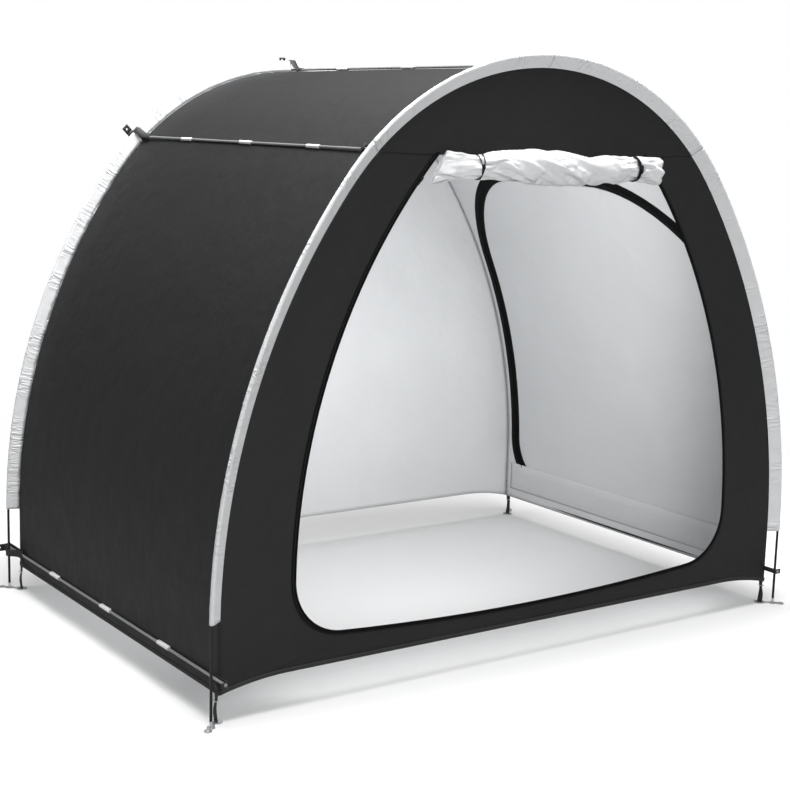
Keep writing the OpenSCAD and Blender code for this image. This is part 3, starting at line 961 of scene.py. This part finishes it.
door_white = woven(
    "door_lining", (0.64, 0.65, 0.66), (0.73, 0.735, 0.74), rough=0.34, relief=0.005, folds=(11, 16, 15.0)
)
roll_bm = panel(columns=168, rows=236, place=roll_place, cut=ROLL_CUT, facing=ROLL_MIDDLE)
outline = doorway_edge(0.0)
roll = stand("rolled_door", roll_bm, [door_white], ["front_door_roll"])
thicken(roll, ROLL_T)
SEAM_Z - DOOR_LOW_Z

# Door ties
# A thin black elastic cord wound twice round the left of the roll and knotted, and a short web strap with
# a toggle round its right. Both go round behind the roll, close to the seam.
CORD_R = 0.0015
CORD_CLEAR = 0.001
TIE_STRAP_W = 0.011
TIE_STRAP_T = 0.0018
TIE_STRAP_CLEAR = 0.0008
TIE_STEPS = 40
# The cord's two turns: distance from the tie's place, slant
CORD_TURNS = [(-0.003, 0.006), (0.004, -0.005)]
TIE_STRAP_SLANT = 0.002
TIE_BACK = 0.003
KNOT_R = 0.0055
KNOT_OUT = 0.006
# The cord's knot and the strap's toggle: place along the roll, stretch of a ball
KNOTS = [(TIE_XS[0], (0.9, 0.8, 0.018 / 0.013)), (TIE_XS[1] + 0.004, (0.9, 0.8, 0.030 / 0.013))]
tie_black = ribbed(
    "tie_web", (0.003, 0.003, 0.0033), pitch=0.0016, rough=0.6, axis=2, constants={"Specular IOR Level": 0.2}
)
tie_bm = bmesh.new()


def tie_round(x, clear, slant, profile):
    """Winds a tie once round the roll at a place along it, a little off its skin."""
    radius, top, depth = roll_form(x)
    reach = radius * 1.05 + clear
    path = []
    for turn in turns_round(TIE_STEPS):
        path.append(Vector((
            x + slant * math.sin(turn),
            FRONT_Y - TIE_BACK - radius * depth + reach * depth * math.cos(turn) * 0.98,
            SEAM_Z + top - radius - reach * math.sin(turn),
        )))
    middle = sum(path, Vector()) / len(path)
    outs = [(spot - middle).normalized() for spot in path]
    sweep(tie_bm, along(path, outs, closed=True), profile, closed=True)


for aside, slant in CORD_TURNS:
    tie_round(TIE_XS[0] + aside, CORD_CLEAR, slant, disc(CORD_R, sides=6))
tie_round(TIE_XS[1], TIE_STRAP_CLEAR, TIE_STRAP_SLANT, strip(TIE_STRAP_W, TIE_STRAP_T))
for x, stretch in KNOTS:
    radius, top, depth = roll_form(x)
    front = Vector((x, FRONT_Y - KNOT_OUT - 2 * radius * depth, SEAM_Z + top - radius))
    knot = bmesh.ops.create_icosphere(tie_bm, subdivisions=2, radius=KNOT_R)["verts"]
    bmesh.ops.scale(tie_bm, vec=stretch, verts=knot)
    bmesh.ops.translate(tie_bm, vec=front, verts=knot)
stand("door_ties", tie_bm, [tie_black], ["front_door_ties"], turn_out=True)

# Spreader rods
# Five straight fibreglass rods from front to rear, stepped down to a pin at each end. They keep the hoops
# apart and hold the cloth out; the grey resin shows its glass threads along the rod.
rod_grey, shader, place = finish("grey_resin", "Object", {"Coat Weight": 0.2, "Coat Roughness": 0.2})
threads = place.stretched((700, 5, 700)).cloud(scale=1.0)
feed(
    shader,
    base_color=threads.tint((0.13, 0.132, 0.135), (0.30, 0.303, 0.31)),
    roughness=0.28 + 0.2 * threads,
    normal=threads.relief(distance=0.0003, strength=0.4),
)
# Each rod's distance round the canopy from the ridge
RODS = {
    "ridge": 0.0,
    "upper_left": -UPPER_RUN,
    "upper_right": UPPER_RUN,
    "lower_left": -LOW_RUN,
    "lower_right": LOW_RUN,
}
paint([f"{rod}_rod" for rod in RODS], rod_grey)

# Rod loops
# White tape loops, three to a rod, each folded round the rod.
# They are sewn to the cloth along one edge and draw it out to the rod.
ROD_OFF = 0.007
ROD_WAY = Vector((0, 1, 0))
LOOP_LEN = 0.062
LOOP_STEP = 0.358
LOOP_R = 0.0050
LOOP_DROP = 0.0024
LOOP_NECK = 0.0012
LOOP_HEM = 0.0060
LOOP_TAPE_T = 0.0008
LOOP_ROWS = 12
LOOP_OPEN = 40
LOOP_SIDES = 13
LOOP_CLEAR = 0.0002
SEWN_LOW = 0.0001
loop_white = ribbed("loop_tape", (0.58, 0.58, 0.58), pitch=0.0020, rough=0.6, axis=1, depth=0.0002)
wraps = [LOOP_OPEN + (360 - 2 * LOOP_OPEN) * k / LOOP_SIDES for k in range(LOOP_SIDES + 1)]
turns = [math.radians(wrap) for wrap in wraps]
round_rod = [(LOOP_R * math.sin(turn), ROD_OFF - LOOP_DROP - LOOP_R * math.cos(turn)) for turn in turns]
sewn = [
    (-LOOP_NECK, LOOP_TAPE_T), (-LOOP_HEM, LOOP_TAPE_T), (-LOOP_HEM, SEWN_LOW), (LOOP_NECK, SEWN_LOW),
]
loop_profile = [(LOOP_NECK, LOOP_TAPE_T)] + round_rod + sewn
for rod, run in RODS.items():
    loop_bm = bmesh.new()
    seat, out = arch(run, CLOTH_INSET)
    across = out.cross(ROD_WAY)
    for k in (-1, 0, 1):
        frames = []
        for row in range(LOOP_ROWS + 1):
            y = k * LOOP_STEP + LOOP_LEN * (row / LOOP_ROWS - 0.5)
            wide = 1 + 0.05 * math.sin(row * 1.7 + k)
            base = seat + out * (rod_lift(y) + LOOP_CLEAR) + Vector((0, y, 0))
            frames.append((base, across * wide, out))
        sweep(loop_bm, frames, loop_profile)
    stand(f"{rod}_tape_loops", loop_bm, [loop_white], [f"{rod}_loops"], turn_out=True)

# Rod tabs
# Black webbing sewn to the cloth at each end of a rod, turned up for the rod's pin in a steel eyelet.
# All but the three upper front ones run out under the pole. Rear ones also go over it to an eye.
TAB_W = 0.022
LOW_TAB_W = 0.015
TAB_T = 0.0022
TAB_SEWN = 0.024
TAB_BEND = 0.004
REAR_REACH = 0.078
FRONT_REACH = 0.045
# Heights of a tab's middle over the cloth: where it is sewn, midway, and where it turns up
TAB_LIFTS = (0.0009, 0.0010, 0.0012)
# The upturned end over the bend: distance past the tab's reach, height over the rod's middle
TAB_END = [(0, 0.004), (0.0006, 0.012)]
EYELET_R = 0.0034
EYELET_WIRE = 0.0010
EYELET_SIDES = (-0.0011, 0.0013)
EYE_LIFT = 0.037
EYE_HOLE = 0.0036
EYE_RING_R = 0.0046
# The strap over the rear pole: distance behind the shelter's middle, height over the cloth
OVER_POLE = [
    (0.604, 0.0118), (0.636, 0.0124), (0.648, 0.0215), (0.656, 0.0325), (0.665, 0.0378), (0.676, 0.0350),
    (0.692, 0.0280), (0.712, 0.0215), (0.722, 0.0200), (0.7265, 0.0215), (0.728, 0.0265),
]
webbing = ribbed("black_web", (0.011, 0.011, 0.012), pitch=0.0030, rough=0.55, axis=1)
steel, shader, place = finish("zinc_steel", "Object", {"Metallic": 1.0})
spangle = place.node("ShaderNodeTexVoronoi", None, {"Vector": place, "Scale": 320.0})
feed(
    shader,
    base_color=spangle.tint((0.50, 0.51, 0.53), (0.72, 0.73, 0.74)),
    roughness=0.24 + 0.25 * place.cloud(scale=120.0),
    normal=place.cloud(scale=300.0, detail=4.0).relief(distance=0.0002, strength=0.5),
)


def eyed_end(bm, middle, across, out):
    """A square end of webbing with a round hole for a hook."""
    rim = bmesh.ops.create_circle(bm, segments=24, radius=1)["verts"]
    eye = bmesh.ops.create_circle(bm, segments=24, radius=1)["verts"]
    edges = once(edge for vert in rim + eye for edge in vert.link_edges)
    for vert in rim:
        size = TAB_W / 2 / max(abs(vert.co.x), abs(vert.co.y))
        vert.co = middle + (across * vert.co.x + out * vert.co.y) * size
    for vert in eye:
        vert.co = middle + (across * vert.co.x + out * vert.co.y) * EYE_HOLE
    faces = bmesh.ops.bridge_loops(bm, edges=edges)["faces"]
    bmesh.ops.solidify(bm, geom=faces, thickness=TAB_T)


def webbing_run(bm, points, across, width):
    """A length of webbing along a path, flat across it."""
    ways = []
    for k in range(len(points)):
        ahead = points[min(k + 1, len(points) - 1)] - points[max(k - 1, 0)]
        ways.append(ahead.cross(across).normalized())
    sweep(bm, along(points, ways), strip(width, TAB_T))


def eyelet(bm, middle, across, out, radius):
    ring = [middle + (out * math.cos(turn) + across * math.sin(turn)) * radius for turn in turns_round(16)]
    sweep(bm, along(ring, [ROD_WAY] * 16, closed=True), disc(EYELET_WIRE, sides=6), closed=True)


eyelets = bmesh.new()
for end, side in (("front", -1), ("rear", 1)):
    tabs = bmesh.new()
    for rod, run in RODS.items():
        seat, out = arch(run, CLOTH_INSET)
        across = out.cross(ROD_WAY)
        low_front = end == "front" and rod.startswith("lower")
        reach = HALF_DEPTH + REAR_REACH
        if end == "front":
            reach = HALF_DEPTH + (FRONT_REACH if low_front else -FRONT_REACH)
        start, turn_up = min(reach, HALF_DEPTH) - TAB_SEWN, reach - TAB_BEND
        path = list(zip((start, (start + reach - TAB_BEND) / 2, turn_up), TAB_LIFTS))
        for turn in (math.radians(90 * k / 5) for k in range(1, 6)):
            height = TAB_LIFTS[-1] + TAB_BEND - TAB_BEND * math.cos(turn)
            path.append((turn_up + TAB_BEND * math.sin(turn), height))
        path += [(reach + past, ROD_OFF + height) for past, height in TAB_END]
        points = [seat + out * lift + Vector((0, side * y, 0)) for y, lift in path]
        webbing_run(tabs, points, across, LOW_TAB_W if low_front else TAB_W)
        for past in EYELET_SIDES:
            middle = seat + out * ROD_OFF + Vector((0, side * (reach + past), 0))
            eyelet(eyelets, middle, across, out, EYELET_R)
        if end == "rear":
            points = [seat + out * lift + Vector((0, y, 0)) for y, lift in OVER_POLE]
            webbing_run(tabs, points, across, TAB_W)
            eye = seat + out * EYE_LIFT + Vector((0, OVER_POLE[-1][0], 0))
            eyed_end(tabs, eye, across, out)
            eyelet(eyelets, eye, across, out, EYE_RING_R)
    stand(f"{end}_webbing_tabs", tabs, [webbing], [f"{end}_rod_tabs"], turn_out=True)
stand("tab_eyelets", eyelets, [steel], turn_out=True)

# Feet and corner straps
# Four zinc-plated steel links lie on the ground under the poles. Black webbing from each lower corner of
# the cloth is gathered through a ring and goes down through the slot of its link.
paint([f"{end}_{hand}_foot" for end in ("front", "rear") for hand in ("left", "right")], steel)
STRAP_W = 0.020
STRAP_T = 0.0017
STRAP_TOP = 0.098
STRAP_ROWS = 14
STRAP_CLEAR = 0.0005
GATHER = 0.46
GATHER_Z = 0.052
GATHER_REACH = 0.018
BOW_OUT = 0.0035
BOW_TOP = 0.058
BOW_HIGH = 0.055
RING_Z = 0.056
RING_OUT = 0.002
RING_HALF_X = 0.0042
RING_HALF_Y = 0.0090
RING_WIRE = 0.0014
rings = bmesh.new()
for end, side in (("front", -1), ("rear", 1)):
    for hand, turn in (("left", -1), ("right", 1)):
        node = f"{end}_{hand}_strap"
        low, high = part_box(node)
        middle = (low + high) / 2
        strap = bmesh.new()
        frames = []
        for row in range(STRAP_ROWS + 1):
            z = STRAP_TOP + (low.z + STRAP_CLEAR - STRAP_TOP) * (row / STRAP_ROWS)
            narrow = 1 - GATHER * math.exp(-(((z - GATHER_Z) / GATHER_REACH) ** 2))
            bow = BOW_OUT * math.sin(math.pi * min(1.0, max(0.0, (BOW_TOP - z) / BOW_HIGH)))
            spot = Vector((middle.x + turn * bow, middle.y, z))
            frames.append((spot, Vector((0, narrow, 0)), Vector((turn, 0, 0))))
        sweep(strap, frames, strip(STRAP_W, STRAP_T))
        stand(f"{end}_{hand}_corner_strap", strap, [webbing], [node], turn_out=True)
        hoop = []
        for angle in turns_round(20):
            x = middle.x + turn * RING_OUT + RING_HALF_X * math.cos(angle) * turn
            hoop.append(Vector((x, middle.y + RING_HALF_Y * math.sin(angle), RING_Z)))
        ring_frames = along(hoop, [Vector((0, 0, 1))] * len(hoop), closed=True)
        sweep(rings, ring_frames, disc(RING_WIRE, sides=6), closed=True)
stand("strap_rings", rings, [steel], turn_out=True)

# Floor and light
# A pale floor that keeps the shelter's soft shadow, and a white surround. A broad lamp hangs overhead,
# another stands by the camera, and a weak one lights the inside from the doorway.
FLOOR_SIZE = 40
FLOOR_WHITE = 0.12
FLOOR_NEAR = 1.7
FLOOR_FAR = 3.4
FLOOR_SEEN = (0.76, 0.76, 0.76)
FLOOR_BOUNCED = (0.42, 0.42, 0.42)
WORLD_LIGHT = 0.25
floor_bm = bmesh.new()
bmesh.ops.create_grid(floor_bm, x_segments=1, y_segments=1, size=FLOOR_SIZE)
floor_mesh = bpy.data.meshes.new("floor")
floor_bm.to_mesh(floor_mesh)
floor_bm.free()
floor = bpy.data.objects.new("floor", floor_mesh)
bpy.context.scene.collection.objects.link(floor)
pale, shader, place = finish("pale_floor", "Object", {"Roughness": 0.9})
tree = pale.node_tree
seen = Wire(tree.nodes.new("ShaderNodeLightPath").outputs["Is Camera Ray"])
feed(shader, base_color=seen.tint(FLOOR_BOUNCED, FLOOR_SEEN))
glow = seen.node("ShaderNodeEmission", None, {"Color": (1, 1, 1, 1), "Strength": 1.0})
reach = place.node("ShaderNodeVectorMath", {"operation": "LENGTH"}, {0: place}, out=1)
reach = ((reach - FLOOR_NEAR) * (1 / (FLOOR_FAR - FLOOR_NEAR))).math("MAXIMUM", 0.0).math("MINIMUM", 1.0)
share = seen * (FLOOR_WHITE + (1 - FLOOR_WHITE) * reach)
both = seen.node("ShaderNodeMixShader", None, {0: share, 1: Wire(shader.outputs[0]), 2: glow})
tree.links.new(both.socket, tree.nodes["Material Output"].inputs["Surface"])
floor_mesh.materials.append(pale)

world = bpy.data.worlds.new("studio")
bpy.context.scene.world = world
world.use_nodes = True
tree = world.node_tree
back = tree.nodes["Background"]
back.inputs["Color"].default_value = (1, 1, 1, 1)
paths = tree.nodes.new("ShaderNodeLightPath").outputs
clear = Wire(paths["Is Camera Ray"]).math("MAXIMUM", Wire(paths["Is Transmission Ray"]))
tree.links.new((clear * (1 - WORLD_LIGHT) + WORLD_LIGHT).socket, back.inputs["Strength"])


def lamp(name, at, aim, size, power):
    """A square lamp at a place, turned to a point, that the camera doesn't see."""
    light = bpy.data.lights.new(name, "AREA")
    light.size = size
    light.energy = power
    made = bpy.data.objects.new(name, light)
    bpy.context.scene.collection.objects.link(made)
    made.location = at
    made.rotation_euler = (Vector(aim) - Vector(at)).to_track_quat("-Z", "Y").to_euler()
    made.visible_camera = False


lamp("overhead", at=(-0.4, -0.4, 5.2), aim=(0, 0, 0.5), size=2.9, power=540)
lamp("by_camera", at=(-1.6, -6.2, 2.6), aim=(0.2, 0, 0.7), size=2.6, power=160)
lamp("doorway_fill", at=(0, -0.52, 0.70), aim=(0, 0.48, 0.92), size=0.9, power=11)

# Camera
# At the photograph's place: nearly as high as the ridge, in front of the shelter and to its left.
# Its place, turn and focal length were fitted to points on the hoops, the rods and the feet.
CAMERA_AT = Vector((-2.716, -3.865, 1.476))
CAMERA_YAW = math.radians(34.96)
CAMERA_PITCH = math.radians(-10.03)
CAMERA_ROLL = math.radians(1.56)
PHOTO_PX = 790
FOCAL_PX = 1559.6
SENSOR_MM = 36.0
ahead = Vector((
    math.sin(CAMERA_YAW) * math.cos(CAMERA_PITCH),
    math.cos(CAMERA_YAW) * math.cos(CAMERA_PITCH),
    math.sin(CAMERA_PITCH),
))
right = ahead.cross(Vector((0, 0, 1))).normalized()
right = Matrix.Rotation(CAMERA_ROLL, 3, -ahead) @ right
over = right.cross(ahead)
lens = bpy.data.cameras.new("camera")
lens.sensor_width = SENSOR_MM
lens.lens = FOCAL_PX / PHOTO_PX * SENSOR_MM
camera = bpy.data.objects.new("camera", lens)
bpy.context.scene.collection.objects.link(camera)
turned = Matrix((right, over, -ahead)).transposed().to_4x4()
camera.matrix_world = Matrix.Translation(CAMERA_AT) @ turned
bpy.context.scene.camera = camera
bpy.context.scene.view_settings.view_transform = "Standard"
